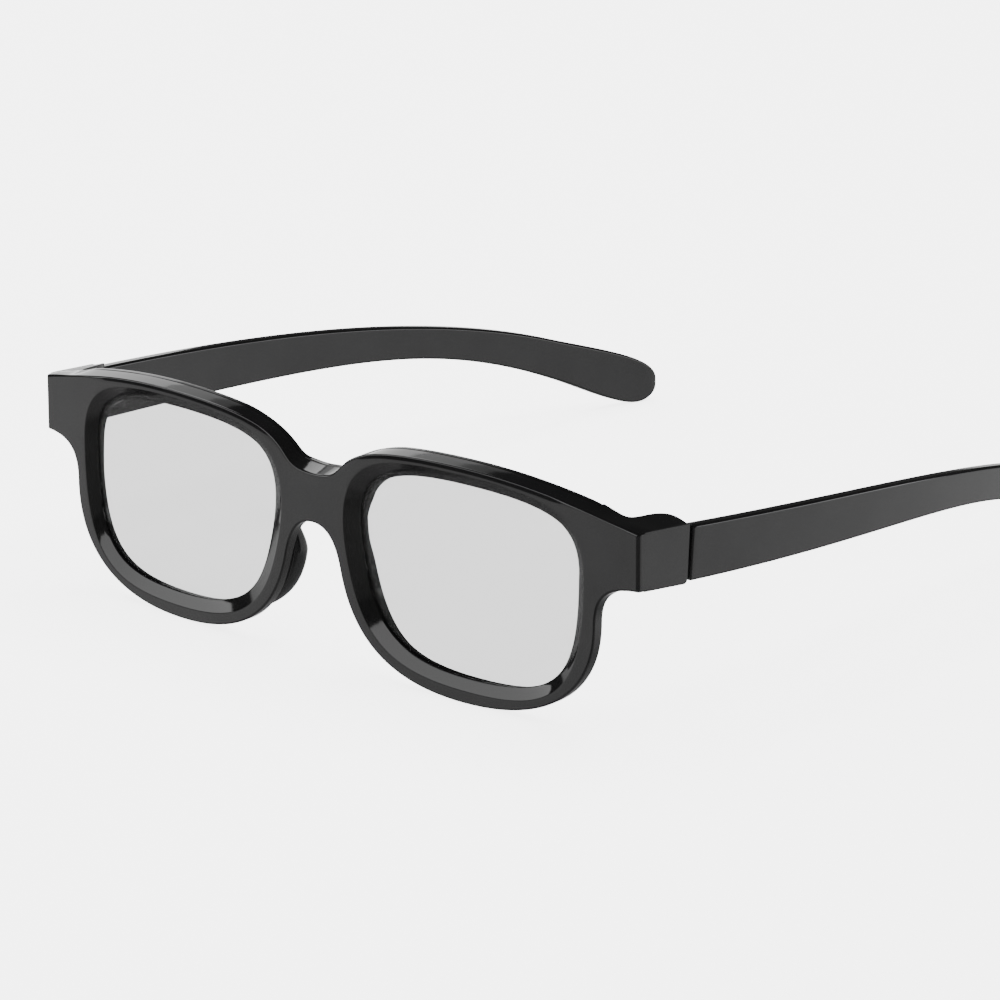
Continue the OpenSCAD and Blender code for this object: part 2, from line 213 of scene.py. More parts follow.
def outward(line):
    """Normals on the left of the way along an open line."""
    ahead = np.vstack([line[1:], line[-1:]])
    behind = np.vstack([line[:1], line[:-1]])
    t = ahead - behind
    t /= np.linalg.norm(t, axis=1)[:, None]
    return np.stack([-t[:, 1], t[:, 0]], axis=1)


def wrap_y(x):
    """How far back the curved front face lies."""
    return wrap_r - np.sqrt(wrap_r ** 2 - np.asarray(x, float) ** 2)


def arm_x(y, inset=0):
    """Place of the bowed outer face of the left arm, or of a face inside it."""
    return half_w + bow_out - bow_r + np.sqrt((bow_r - inset) ** 2 - (np.asarray(y, float) - bow_y) ** 2)


# Outlines of the left half, seen from the front

saddle, brow = (0, saddle_z), (brow_x, brow_z)
end_top, end_bottom = (half_w, end_top_z), (half_w, end_bottom_z)
rim_side, rim_low = (rim_x, rim_z), (brow_x + 2, 0)
nose, arch = (nose_x, nose_z), (0, arch_z)
nose_angle, eye_nose_angle = 102.7, 103.3
top_line = joined(
    curve(saddle, 0, brow, 0, [0.339, 0.986]),
    curve(brow, 0, end_top, -14, [0.415, 0.29]),
    end_top)
end_line = joined(curve(end_bottom, 180, rim_side, -90, [0.54, 0.46]), rim_side)
low_line = joined(
    curve(rim_side, -90, rim_low, 180, [0.36, 0.55]),
    curve(rim_low, 180, nose, nose_angle, [0.515, 0.36]),
    curve(nose, nose_angle, arch, 180, [0.455, 0.385]),
    arch)

eye_top = (brow_x - 1, brow_z - rim_top_w)
eye_out = (rim_x - rim_side_w, rim_z + 8)
eye_low = (brow_x + 3.5, rim_bottom_w)
eye_nose = (nose_x + rim_nose_w, nose_z + 2.8)
eye_line = joined(
    curve(eye_top, 0, eye_out, -90, [0.715, 0.325]),
    curve(eye_out, -90, eye_low, 180, [0.6, 0.54]),
    curve(eye_low, 180, eye_nose, eye_nose_angle, [0.605, 0.4]),
    curve(eye_nose, eye_nose_angle, eye_top, 0, [0.535, 0.69]))
eye_middle = np.array([35.5, 30.0])

eye_share = np.arange(len(eye_line)) * 4 / len(eye_line)
eye_corner = np.floor(eye_share).astype(int)
eye_blend = smoothstep(0, 1, eye_share - eye_corner)
eye_chamfer = (np.take(chamfer_ws, eye_corner) * (1 - eye_blend)
               + np.take(chamfer_ws, (eye_corner + 1) % 4) * eye_blend)
eye_t = np.roll(eye_line, -1, axis=0) - np.roll(eye_line, 1, axis=0)
eye_t /= np.linalg.norm(eye_t, axis=1)[:, None]
eye_normal = np.stack([-eye_t[:, 1], eye_t[:, 0]], axis=1)


def eye_at(points):
    """Point, outward normal and chamfer width of the lens opening on the ray through each point."""
    turn = np.degrees(np.arctan2(*(eye_line - eye_middle).T[::-1]))
    order = np.argsort(turn)
    values = np.column_stack([eye_line, eye_normal, eye_chamfer])[order]
    asked = np.degrees(np.arctan2(*(points - eye_middle).T[::-1]))
    found = np.stack([np.interp(asked, turn[order], v, period=360) for v in values.T], axis=1)
    normals = found[:, 2:4] / np.linalg.norm(found[:, 2:4], axis=1)[:, None]
    return found[:, :2], normals, found[:, 4]


def top_z(x):
    """Height of the front's upper outline."""
    return np.interp(np.abs(x), top_line[:, 0], top_line[:, 1])


def top_drop(x, depth):
    """Fall of the top faces behind the front edge: end pieces slope down, bridge and brow slope up."""
    x = np.minimum(np.abs(x), half_w)
    rise = end_crown * smoothstep(*crown_start, x) * (1 - np.exp(-np.maximum(depth, 0) / crown_d))
    back_z = end_back_z + end_back_tilt * (end_back_x - x)
    fall = smoothstep(*end_start, x) * depth / (end_d - wrap_y(x)) * (top_z(x) + rise - back_z)
    slope = brow_rise * smoothstep(*brow_start, x) * (1 - smoothstep(*brow_finish, x))
    slope = slope * np.maximum(depth - rise_d, 0) / (rear_d - rise_d)
    return fall - rise - slope - bridge_rise * (1 - smoothstep(*bridge_fade, x)) * depth


# Meshes

def new_object(name, points, faces):
    """Object from points in millimetres, moved to the middle of the glasses' depth."""
    mesh = bpy.data.meshes.new(name)
    metres = (np.asarray(points, float) - [0, overall_d / 2, 0]) * MM
    mesh.from_pydata(metres.tolist(), [], faces)
    mesh.validate()
    thing = bpy.data.objects.new(name, mesh)
    bpy.context.collection.objects.link(thing)
    return thing


def grid_faces(columns, rows, closed_columns, closed_rows):
    """Four-sided faces between the rows of neighbouring columns."""
    faces = []
    for i in range(columns if closed_columns else columns - 1):
        for j in range(rows if closed_rows else rows - 1):
            k, m = (i + 1) % columns, (j + 1) % rows
            faces.append((i * rows + j, i * rows + m, k * rows + m, k * rows + j))
    return faces


def tidy_normals(thing):
    """Welds what meets, drops loose edges and turns all faces outwards."""
    bm = bmesh.new()
    bm.from_mesh(thing.data)
    bmesh.ops.remove_doubles(bm, verts=bm.verts, dist=WELD)
    bmesh.ops.dissolve_degenerate(bm, edges=bm.edges, dist=SLIVER)
    bmesh.ops.delete(bm, geom=[e for e in bm.edges if not e.link_faces], context="EDGES")
    bmesh.ops.recalc_face_normals(bm, faces=bm.faces)
    bm.to_mesh(thing.data)
    bm.free()


def combined(base, other, how):
    """Boolean of two closed meshes, kept in base."""
    step = base.modifiers.new("combine", "BOOLEAN")
    step.operation = how
    step.object = other
    step.solver = "EXACT"
    result = bpy.data.meshes.new_from_object(base.evaluated_get(bpy.context.evaluated_depsgraph_get()))
    base.modifiers.clear()
    base.data = result
    bpy.data.objects.remove(other)


def mirrored(thing, name):
    """Copy of a left piece on the right."""
    mesh = thing.data.copy()
    mesh.transform(Matrix.Diagonal((-1, 1, 1, 1)))
    mesh.flip_normals()
    copy = bpy.data.objects.new(name, mesh)
    bpy.context.collection.objects.link(copy)
    return copy


def smoothed(thing):
    """Smooth shading, with true edges kept sharp."""
    thing.data.shade_smooth()
    thing.data.set_sharp_from_angle(angle=SMOOTH_ANGLE)
    weighted = thing.modifiers.new("even_normals", "WEIGHTED_NORMAL")
    weighted.keep_sharp = True
    weighted.weight = 100


def path(corners):
    """Section of a moulding: each corner is (points, run in, run out, segments, splits before it)."""
    count = len(corners)
    out = []
    for k in range(count):
        here, run_in, run_out, segments, splits = corners[k]
        before = corners[k - 1]
        after = corners[(k + 1) % count]

        def toward(other, run):
            """Where the rounding meets the side to the other corner; a run may be given as points."""
            if np.ndim(run) == 2:
                return run
            gap = other - here
            size = np.linalg.norm(gap, axis=1)[:, None]
            return here + gap / np.maximum(size, 1e-9) * np.broadcast_to(run, len(here))[:, None]

        first = toward(before[0], run_in) if segments else here
        if splits:
            last = out[-1]
            out += [last + (first - last) * (s + 1) / (splits + 1) for s in range(splits)]
        out.append(first)
        if segments:
            end = toward(after[0], run_out)
            out += [round_corner(first, here, end, s / segments) for s in range(1, segments + 1)]
    return np.stack(out, axis=1)


def placed(sections, drop, flare=None):
    """Sections of (x, z, depth) put on the wrap of the front."""
    x, z, depth = sections[..., 0], sections[..., 1], sections[..., 2]
    y = wrap_y(x) + depth
    if flare is not None:
        x = x + flare[:, None] * depth
    return np.stack([x, y, z - drop], axis=-1)


def at_depth(points, depth):
    """Outline points with a depth."""
    return np.column_stack([points, np.broadcast_to(depth, len(points))])


def middle_line(low, span, gap):
    """Upright row of points on the middle plane, about an outline step apart over the gap."""
    count = max(4, round(gap / outline_step))
    return np.column_stack([np.zeros(count), low + span * np.arange(count) / (count - 1)])


def half_ring(name, sections):
    """Moulding swept round one lens opening, joined to its mirror image on the middle plane."""
    columns, rows = sections.shape[:2]
    thing = new_object(name, sections.reshape(-1, 3), grid_faces(columns, rows, True, True))
    bm = bmesh.new()
    bm.from_mesh(thing.data)
    middle = [f for f in bm.faces if all(abs(v.co.x) < SLIVER for v in f.verts)]
    bmesh.ops.delete(bm, geom=middle, context="FACES")
    twin = bmesh.ops.duplicate(bm, geom=bm.verts[:] + bm.edges[:] + bm.faces[:])["geom"]
    for v in twin:
        if isinstance(v, bmesh.types.BMVert):
            v.co.x = -v.co.x
    bmesh.ops.reverse_faces(bm, faces=[f for f in twin if isinstance(f, bmesh.types.BMFace)])
    bm.to_mesh(thing.data)
    bm.free()
    tidy_normals(thing)
    return thing


# Front shell: rims, brow and bridge

def front_columns():
    """Outline of the front's left half, with what shapes its edge at each point.

    Its parts in order: 0 top, 1 upper corner, 2 side, 3 lower corner, 4 under the end, 5 low rim.
    """
    bend_steps = 6
    hair = 0.03
    top = evenly(trimmed(top_line, 0, edge_r), outline_step)
    side = evenly(trimmed(joined(end_top, end_bottom), edge_r, edge_r), outline_step)
    under = evenly(trimmed(end_line, edge_r, 0), outline_step)
    low = evenly(low_line, outline_step)
    upper_corner = bend(top[-1], np.array(end_top), side[0], bend_steps)
    lower_corner = bend(side[-1], np.array(end_bottom), under[0], bend_steps)
    parts = [top, upper_corner, side, lower_corner, under[:-1], low]
    line = joined(*parts)
    kind = np.repeat(np.arange(len(parts)), [len(p) for p in parts])
    normal = outward(line)
    normal[0], normal[-1] = (0, 1), (0, -1)
    x, z = line.T

    # Roundings: a sloped band along the brow, wider corners on the upright side
    banded = smoothstep(*band_start, x) * (1 - smoothstep(*band_finish, x))
    banded = np.where(kind == 0, banded, 0)
    upright = np.where(kind == 2, 1.0, 0.0)
    upright[kind == 1] = (np.arange(len(upper_corner)) + 1) / (len(upper_corner) + 1)
    upright[kind == 3] = 1 - (np.arange(len(lower_corner)) + 1) / (len(lower_corner) + 1)
    run_in = edge_r + (brow_band_w - edge_r) * banded + (corner_r - edge_r) * upright
    run_out = edge_r + (brow_edge_r - edge_r) * banded + (corner_r - edge_r) * upright

    # Where the flat face ends, kept clear of the lens chamfer
    chamfer_room, least_run = 0.2, 0.3
    eye, eye_n, chamfer = eye_at(line)
    room = np.sum((line - eye - chamfer[:, None] * eye_n) * normal, axis=1)
    face_run = np.minimum(run_in, np.maximum(room - chamfer_room, least_run))
    face_end = line - face_run[:, None] * normal
    face_row = line - (face_run + hair)[:, None] * normal
    lean = brow_band_d * banded * np.clip(face_run / brow_band_w, 0, 1)
    near = (1 - banded) + banded * np.minimum(1, brow_edge_r / face_run)
    start = at_depth(line + near[:, None] * (face_end - line), lean * (1 - near))

    # The end piece's two corners of the face, shared by all points round them
    high = np.array([half_w - corner_r, float(top_z(half_w - corner_r)) - edge_r])
    deep = np.array([half_w - corner_r, end_bottom_z + edge_r])
    at_high = (kind == 1) | ((kind == 0) & (x > high[0])) | ((kind == 2) & (z > high[1]))
    at_deep = (kind == 3) | ((kind == 4) & (x > deep[0])) | ((kind == 2) & (z < deep[1]))
    start[at_high, :2] = high
    start[at_deep, :2] = deep
    face_row[at_high] = high - hair
    face_row[at_deep] = deep + [-hair, hair]

    # Inner side of the brow's strip
    inner = line - brow_t * normal
    inner_x = half_w - brow_t
    at_end = ((kind >= 1) & (kind <= 3)) | ((kind == 0) | (kind == 4)) & (x > inner_x)
    inner_high = float(top_z(inner_x)) - brow_t
    inner[at_end, 0] = np.minimum(inner[at_end, 0], inner_x)
    inner[at_end, 1] = np.clip(inner[at_end, 1], end_bottom_z + brow_t, inner_high)

    # Depth of the edge, its seam, and how the end piece's faces slope
    under_end = smoothstep(*under_start, x) * (z > rim_z)
    depth = np.where(kind <= 3, brow_d, front_d + (brow_d - front_d) * under_end)
    top_seam = seam_r * (1 - smoothstep(*seam_finish, x))
    low_seam = np.where(kind >= 4, seam_r * (1 - under_end), 0)
    seam = np.where(kind == 0, top_seam, low_seam)
    share = np.clip((z - end_bottom_z) / (end_top_z - end_bottom_z), 0, 1)
    on_top = np.where(kind == 0, 1.0, np.where(kind <= 3, share, 0.0))
    on_under = np.where(kind <= 3, 1 - on_top, under_end)
    flare = np.where(z > rim_z, end_flare * smoothstep(flare_x, half_w, x), 0)
    return line, face_row, start, lean, inner, run_out, depth, seam, on_top, on_under, flare


def front_rims():
    """Both rims with brow and bridge, and the front of the end pieces."""
    line, face_row, start, lean, inner, run_out, depth, seam, on_top, on_under, flare = front_columns()
    gap = saddle_z - arch_z
    low_room, both_room, hair = 0.2, 0.5, 0.02
    middle = middle_line(arch_z + brow_t + low_room, gap - 2 * brow_t - both_room, gap)
    points = joined(line, middle)
    eye, eye_n, chamfer = eye_at(points)

    def extended(values, rest=0.0):
        """Values of the outline, followed by one for all of the middle line."""
        return np.concatenate([values, np.full(len(middle), rest)])

    run_out, seam, lean = extended(run_out), extended(seam), extended(lean)
    depth = extended(depth, front_d)
    on_top, on_under, flare = extended(on_top), extended(on_under), extended(flare)
    pocket = eye + pocket_w * eye_n
    sections = path([
        (at_depth(pocket, front_d), 0, 0, 0, 0),
        (at_depth(pocket, seat_d), 0, 0, 0, 0),
        (at_depth(eye, seat_d), 0, 0, 0, 0),
        (at_depth(eye, chamfer_d), lip_r, lip_r, 3, 0),
        (at_depth(eye + chamfer[:, None] * eye_n, 0), chamfer_edge_r, chamfer_edge_r, 4, 2),
        (at_depth(joined(face_row, middle), 0), 0, 0, 0, 3),
        (at_depth(points, lean), joined(start, at_depth(middle, 0)), run_out, 8, 1),
        (at_depth(points, depth), seam, seam, 2, 1),
        (at_depth(joined(inner, middle), depth), 0, 0, 0, 0),
        (at_depth(joined(inner, middle), front_d - hair), 0, 0, 0, 0)])
    # Rows before the edge: pocket and seat 3, lip 4, chamfer 2 and 5, face 4, and 1 split
    edge_row = 3 + 4 + 2 + 5 + 4 + 1
    on_edge = (np.arange(sections.shape[1]) >= edge_row) * sections[..., 2]
    drop = on_top[:, None] * top_drop(points[:, :1], on_edge) + on_under[:, None] * end_slope * on_edge
    return half_ring("front_shell", placed(sections, drop, flare))


def block_plan():
    """Plan of a hinge block: hidden front line in the rim, and back line along its inner wall."""
    block_x = rim_x - rear_inset + shell_gap
    root_x, wall, heel_x = 66, (68.6, 15), 72
    pull, steps, block_step = [0.4, 0.5], 24, 0.35
    root = (root_x, float(wrap_y(root_x)) + rear_d)
    back = joined(
        (block_x, float(wrap_y(block_x)) + rear_d),
        curve(root, 7, wall, 74, pull, steps),
        curve(wall, 74, (heel_x, end_d), 0, pull, steps),
        (float(arm_x(end_d)), end_d))
    back = evenly(back, block_step)
    share = lengths(back) / lengths(back)[-1]
    root_d = 1.5
    front_x = block_x + (half_w + end_flare * root_d - block_x) * share
    front = np.column_stack([front_x, wrap_y(front_x) + root_d])
    return front, back


def hinge_block():
    """Closed block of one end piece, a hair inside the rim's own faces."""
    front, back = block_plan()
    hair = 0.02
    rows = 18
    heel_start = (70.3, 71.8)
    heel_cut = 0.98
    share = 1 - (1 - np.linspace(0, 1, rows)) ** 2
    share = share[None, :, None]
    plan = front[:, None] * (1 - share) + back[:, None] * share
    x, y = plan[..., 0], plan[..., 1]
    x = x - hair * smoothstep(half_w - 1, half_w, x)
    to_end = smoothstep(*heel_start, back[:, 0])[:, None]
    low_y = y - end_lean * to_end * share[..., 0]
    ahead = np.linalg.norm(back - front, axis=1)[:, None] * (1 - share[..., 0])
    heel = np.clip(1 - ahead / end_heel_r, 0, 1) * to_end
    face_x = np.minimum(x, half_w)
    upper = top_z(face_x) - top_drop(x, y - wrap_y(face_x)) - hair
    lower = end_bottom_z - end_slope * (low_y - wrap_y(face_x)) + hair
    lower = lower + end_heel_r * (1 - np.sqrt(1 - heel ** 2 * heel_cut))
    columns = len(front)
    size = columns * rows
    points = np.concatenate([np.stack([x, y, upper], -1).reshape(-1, 3),
                             np.stack([x, low_y, lower], -1).reshape(-1, 3)])
    faces = grid_faces(columns, rows, False, False)
    faces += [tuple(size + v for v in reversed(f)) for f in faces]
    rim = [i * rows for i in range(columns)]
    rim += [(columns - 1) * rows + j for j in range(1, rows)]
    rim += [i * rows + rows - 1 for i in range(columns - 2, -1, -1)]
    rim += range(rows - 2, 0, -1)
    faces += [(a, b, size + b, size + a) for a, b in zip(rim, rim[1:] + rim[:1])]
    thing = new_object("block", points, faces)
    tidy_normals(thing)
    round_block(thing)
    tidy_normals(thing)
    return thing


def round_block(thing):
    """Rounds the block's sharp edges where they stand free of the rim."""
    free_x, free_y = 62.6, 6.2
    sharp_angle = math.radians(50)

    def free(v):
        return v.co.x / MM > free_x and v.co.y / MM + overall_d / 2 > free_y

    bm = bmesh.new()
    bm.from_mesh(thing.data)
    sharp = [e for e in bm.edges if e.calc_face_angle(0) > sharp_angle and all(free(v) for v in e.verts)]
    bmesh.ops.bevel(bm, geom=sharp, offset=edge_r * MM, offset_type="OFFSET", segments=3, profile=0.5,
                    affect="EDGES", clamp_overlap=True)
    bm.to_mesh(thing.data)
    bm.free()


def cylinder(name, middle, radius, low, high, bevel=0, sides=64):
    """Upright closed cylinder, with rounded rims."""
    flat_r = radius - bevel
    bends = [math.radians(a) for a in (30, 60, 90)] if bevel else []
    rings = [(flat_r, low)]
    rings += [(flat_r + bevel * math.sin(a), low + bevel - bevel * math.cos(a)) for a in bends]
    rings += [(flat_r + bevel * math.sin(a), high - bevel + bevel * math.cos(a)) for a in bends[::-1]]
    rings.append((flat_r, high))
    turn = np.radians(np.arange(sides) * 360 / sides)
    points = [(middle[0], middle[1], low)]
    for r, z in rings:
        points += [(middle[0] + r * math.cos(t), middle[1] + r * math.sin(t), z) for t in turn]
    points.append((middle[0], middle[1], high))
    following = [(i + 1) % sides for i in range(sides)]
    faces = [(0, 1 + j, 1 + i) for i, j in enumerate(following)]
    for k in range(len(rings) - 1):
        ring = 1 + k * sides
        faces += [(ring + i, ring + j, ring + j + sides, ring + i + sides) for i, j in enumerate(following)]
    top = 1 + (len(rings) - 1) * sides
    faces += [(top + i, top + j, len(points) - 1) for i, j in enumerate(following)]
    return new_object(name, points, faces)


def prism(name, plan, low, high):
    """Upright closed prism on a plan polygon."""
    count = len(plan)
    points = [(p[0], p[1], low) for p in plan] + [(p[0], p[1], high) for p in plan]
    faces = [tuple(range(count - 1, -1, -1)), tuple(range(count, 2 * count))]
    faces += [(i, (i + 1) % count, count + (i + 1) % count, count + i) for i in range(count)]
    return new_object(name, points, faces)


def hinged(block):
    """The block with its two lugs, the room for the arm's knuckle, and the pin's hole."""
    slot_r = knuckle_r + knuckle_gap
    half_slot = knuckle_h / 2 + knuckle_gap
    hinge = (hinge_x, hinge_y)
    lug_low, lug_high = hinge_z - half_slot - lug_t, hinge_z + half_slot + lug_t
    lug_edge_r, hair = 0.3, 0.01
    relief_x, relief_y, beyond_y, below_z = 60, 8.3, end_d + 3, 20
    hole_top_z = pin_top_z + 0.1
    under = [(relief_x, relief_y), (side_wall_x, relief_y), (side_wall_x, beyond_y), (relief_x, beyond_y)]
    combined(block, prism("relief", under, below_z, lug_low), "DIFFERENCE")
    combined(block, cylinder("lugs", hinge, knuckle_r, lug_low + hair, lug_high, lug_edge_r), "UNION")
    combined(block, cylinder("slot", hinge, slot_r, hinge_z - half_slot, hinge_z + half_slot), "DIFFERENCE")
    combined(block, cylinder("hole", hinge, pin_r + hair, below_z, hole_top_z), "DIFFERENCE")


def front_shell():
    """The whole front: rims with a hinge block at each end."""
    shell = front_rims()
    left = hinge_block()
    hinged(left)
    right = mirrored(left, "block_right")
    combined(shell, left, "UNION")
    combined(shell, right, "UNION")
    tidy_normals(shell)
    return shell


# Rear shell with the nose pads

def rear_columns():
    """Left half of the rear shell: outline, normals, and shares of top, full depth and pad at each point."""
    end_x = rim_x - rear_inset
    end_z = float(top_z(end_x))
    top = evenly(top_line[top_line[:, 0] < end_x], outline_step)
    top = joined(top, (end_x, end_z))
    top_n = outward(top)
    top_n[0] = (0, 1)

    low_normal = outward(low_line)
    low_in = low_line - rear_inset * low_normal
    low_in[-1] = (0, arch_z + rear_inset)
    along = lengths(low_in)
    where = np.linspace(0, along[-1], round(along[-1] / outline_step))
    low_place = np.arange(len(low_line)) / CURVE_STEPS
    place = np.interp(where, along, low_place)
    low_outer, low_n = [np.stack([np.interp(place, low_place, values) for values in line.T], axis=1)
                        for line in (low_line, low_normal)]
    low_n[-1] = (0, -1)
    low_outer[-1] = arch

    side = evenly(joined((end_x, end_z - rear_inset), low_in[0]), outline_step)[:-1]
    side_n = np.tile([1.0, 0.0], (len(side), 1))
    gap = saddle_z - arch_z - rear_inset
    low_room, both_room = 0.8, 1.7
    middle = middle_line(arch_z + rear_inset + low_room, gap - both_room - rear_inset, gap)

    reference = joined(top, side + [rear_inset, 0], low_outer, middle)
    normal = joined(top_n, side_n, low_n, np.zeros_like(middle))
    sizes = [len(top), len(side), len(low_outer), len(middle)]
    on_top = np.repeat([1.0, 0.0, 0.0, 0.0], sizes)
    on_back = np.concatenate([np.ones(sizes[0]), np.linspace(1, 0, sizes[1]), np.zeros(sizes[2]),
                              np.linspace(0, 1, sizes[3])])
    progress = np.clip((place - pad_start) / (pad_stop - pad_start), 0, 1)
    swell = np.sin(np.pi * progress) ** pad_taper
    pads = np.concatenate([np.zeros(sizes[0] + sizes[1]), swell, np.zeros(sizes[3])])
    return reference, normal, on_top, on_back, pads


def ledge_width(eye_n):
    """How far the ledge reaches in behind the lens: wide above it, less at the nose, least at the side."""
    at_top = smoothstep(-0.1, 1.0, eye_n[:, 1])
    at_nose = smoothstep(0.2, 0.9, -eye_n[:, 0]) * (1 - at_top)
    at_corner = 2 * np.clip(-eye_n[:, 0], 0, 1) * np.clip(eye_n[:, 1], 0, 1)
    ledge = ledge_w + (ledge_top_w - ledge_w) * at_top + (ledge_nose_w - ledge_w) * at_nose
    return ledge + ledge_corner_w * at_corner


def rear_shell():
    """Rear shell, whose outer wall swells into the nose pads."""
    reference, normal, on_top, on_back, pads = rear_columns()
    eye, eye_n, _ = eye_at(reference)

    def offset(amount):
        return reference + np.broadcast_to(amount, len(reference))[:, None] * normal

    inner = eye - ledge_width(eye_n)[:, None] * eye_n
    pocket = eye + pocket_w * eye_n
    strip = -rear_inset * (1 - on_top)
    step_d = brow_d + shell_gap
    root_d = front_d + shell_gap
    back_d = rim_back_d + (rear_d - rim_back_d) * on_back
    half_pad = (rear_d + pad_h - root_d) / 2
    foot_d, strip_d = [np.where(on_top > 0, step_d, front_d + below) for below in (0.2, 0.3)]
    pad_back_d = back_d + pads * pad_h * pad_lean

    # Outer wall, from the front shell to the back: a flat strip, then its rounding
    wall_steps, flat_share = 12, 0.45
    turn = np.radians(np.linspace(-90, 90, wall_steps + 1))
    wall = []
    for s in range(wall_steps + 1):
        share = s / wall_steps
        round_share = np.clip((share - flat_share) / (1 - flat_share), 0, 1)
        rounded = rear_edge_r * (1 - math.sqrt(max(0, 1 - round_share ** 2)))
        depth_flat = strip_d + (back_d - strip_d - rear_edge_r) * min(1, share / flat_share)
        if round_share:
            depth_flat = depth_flat + rear_edge_r * math.sin(math.acos(1 - rounded / rear_edge_r))
        out_flat = strip - rounded - (seam_r if s == 0 else 0)
        root_w = shell_gap if turn[s] < 0 else pad_root_w
        out_pad = -root_w + (root_w + pad_bulge) * math.cos(turn[s])
        depth_pad = root_d + half_pad * (1 + math.sin(turn[s]))
        amount = out_flat * (1 - pads) + out_pad * pads
        depth = depth_flat * (1 - pads) + depth_pad * pads
        wall.append((at_depth(offset(amount), depth), 0, 0, 0, 0))

    flush, hair = -rear_inset - shell_gap, 0.01
    sections = path([
        (at_depth(pocket, lens_back_d), 0, 0, 0, 0),
        (at_depth(pocket, root_d), 0, 0, 0, 0),
        (at_depth(offset(flush), root_d), 0, 0, 0, 0),
        (at_depth(offset(flush + hair), foot_d), 0, 0, 0, 0),
        *wall,
        (at_depth(inner, pad_back_d), ledge_edge_r, ledge_edge_r, 4, 3),
        (at_depth(inner, lens_back_d), 0, 0, 0, 0)])

    # The top's slope moves the outer rows in full, the three on the back in part, and not the ledge's six
    sloped = np.concatenate([[0, 0], np.ones(wall_steps + 3), [0.75, 0.5, 0.25], np.zeros(6)])
    behind = sections[..., 2] > front_d
    drop = on_top[:, None] * top_drop(reference[:, :1], sections[..., 2]) * behind * sloped
    return half_ring("rear_shell", placed(sections, drop))


# Lenses

def film(name, depth, thickness):
    """Curved sheet of one lens layer, in rings about its middle."""
    every, rings, crowding = 6, 12, 0.8
    edge = (eye_line + lens_lap * eye_normal)[::every]
    shares = np.linspace(1, 0, rings)[:-1] ** crowding
    count = len(edge)

    def face(d):
        flat = np.concatenate([eye_middle + s * (edge - eye_middle) for s in shares] + [eye_middle[None]])
        return np.column_stack([flat[:, 0], wrap_y(flat[:, 0]) + d, flat[:, 1]])

    points = np.concatenate([face(depth), face(depth + thickness)])
    half = len(points) // 2
    faces = []
    for k in range(len(shares) - 1):
        for i in range(count):
            j = (i + 1) % count
            faces.append((k * count + i, k * count + j, (k + 1) * count + j, (k + 1) * count + i))
    last = (len(shares) - 1) * count
    faces += [(last + i, last + (i + 1) % count, half - 1) for i in range(count)]
    faces += [tuple(half + v for v in reversed(f)) for f in faces]
    faces += [(i, half + i, half + (i + 1) % count, (i + 1) % count) for i in range(count)]
    thing = new_object(name, points, faces)
    tidy_normals(thing)
    return thing


# Arms

def arm_lines():
    """Upper and lower edge of an arm's side view, as (y, z) from the front end to the tip."""
    arm_y = end_d + arm_gap
    arm_top, arm_bottom = (arm_y, arm_top_z), (arm_y - arm_lean, arm_bottom_z)
    tip_top, tip_bottom = (tip_y, tip_top_z), (tip_y + 1.5, tip_bottom_z)
    tip_end, tip_low = (overall_d, tip_end_z), (overall_d - tip_foot, 0)
    droop, heel_angle = -20, 155.6
    upper = joined(
        curve(arm_top, -5.7, tip_top, droop, [0.4, 0.264]),
        curve(tip_top, droop, tip_end, -90, [0.5, 0.18]),
        tip_end)
    lower = joined(
        curve(tip_end, -90, tip_low, 180, [0.377, 0.426]),
        curve(tip_low, 180, tip_bottom, heel_angle, [0.205, 0.405]),
        curve(tip_bottom, heel_angle, arm_bottom, 175.6, [0.3, 0.55]),
        arm_bottom)
    return upper, lower[::-1]


def arm_sections():
    """Rounded-rectangle sections from the front end of the left arm to its tip."""
    upper, lower = arm_lines()
    rough_length, tip_share, tip_rest = 155, 0.88, 0.1195
    turn = np.radians([0, 30, 60, 90])
    front_rows = arm_edge_r * (1 - np.cos(turn)) / rough_length
    body_rows = np.linspace(0.008, tip_share, 100)
    tip_rows = tip_share + tip_rest * np.sin(np.radians(np.linspace(4, 90, 36)))
    share = np.concatenate([front_rows, body_rows, tip_rows])
    tops = at_lengths(upper, share * lengths(upper)[-1])
    lows = at_lengths(lower, share * lengths(lower)[-1])
    inset = np.zeros(len(share))
    inset[:len(turn)] = arm_edge_r * (1 - np.sin(turn))
    thin_h, thinning, thin_power = 8.0, 0.75, 2.2
    most_round = 0.45
    sections = []
    for top, low, taken in zip(tops, lows, inset):
        down = low - top
        height = np.linalg.norm(down)
        down = down / height
        near_tip = max(0, 1 - height / thin_h)
        thick = arm_t * (1 - thinning * near_tip ** thin_power) - 2 * taken
        height = height - 2 * taken
        across = []
        for cx, cz, a0 in ((1, 0, 0), (1, 1, -90), (-1, 1, -180), (-1, 0, -270)):
            r = min(arm_edge_r if cz else arm_top_r, most_round * height, most_round * thick)
            for a in (90, 75, 60, 45, 30, 15, 0):
                d = way(a0 + a)
                u = cx * (thick / 2 - r) + r * d[0]
                v = (r if cz == 0 else height - r) - r * d[1]
                across.append((u, v + taken))
        ring = []
        for u, v in across:
            y, z = top + v * down
            outer, inner = float(arm_x(y)), float(arm_x(y, arm_t))
            middle = (outer + inner) / 2
            ring.append((middle + u * (outer - inner) / arm_t, y, z))
        sections.append(ring)
    return np.array(sections)


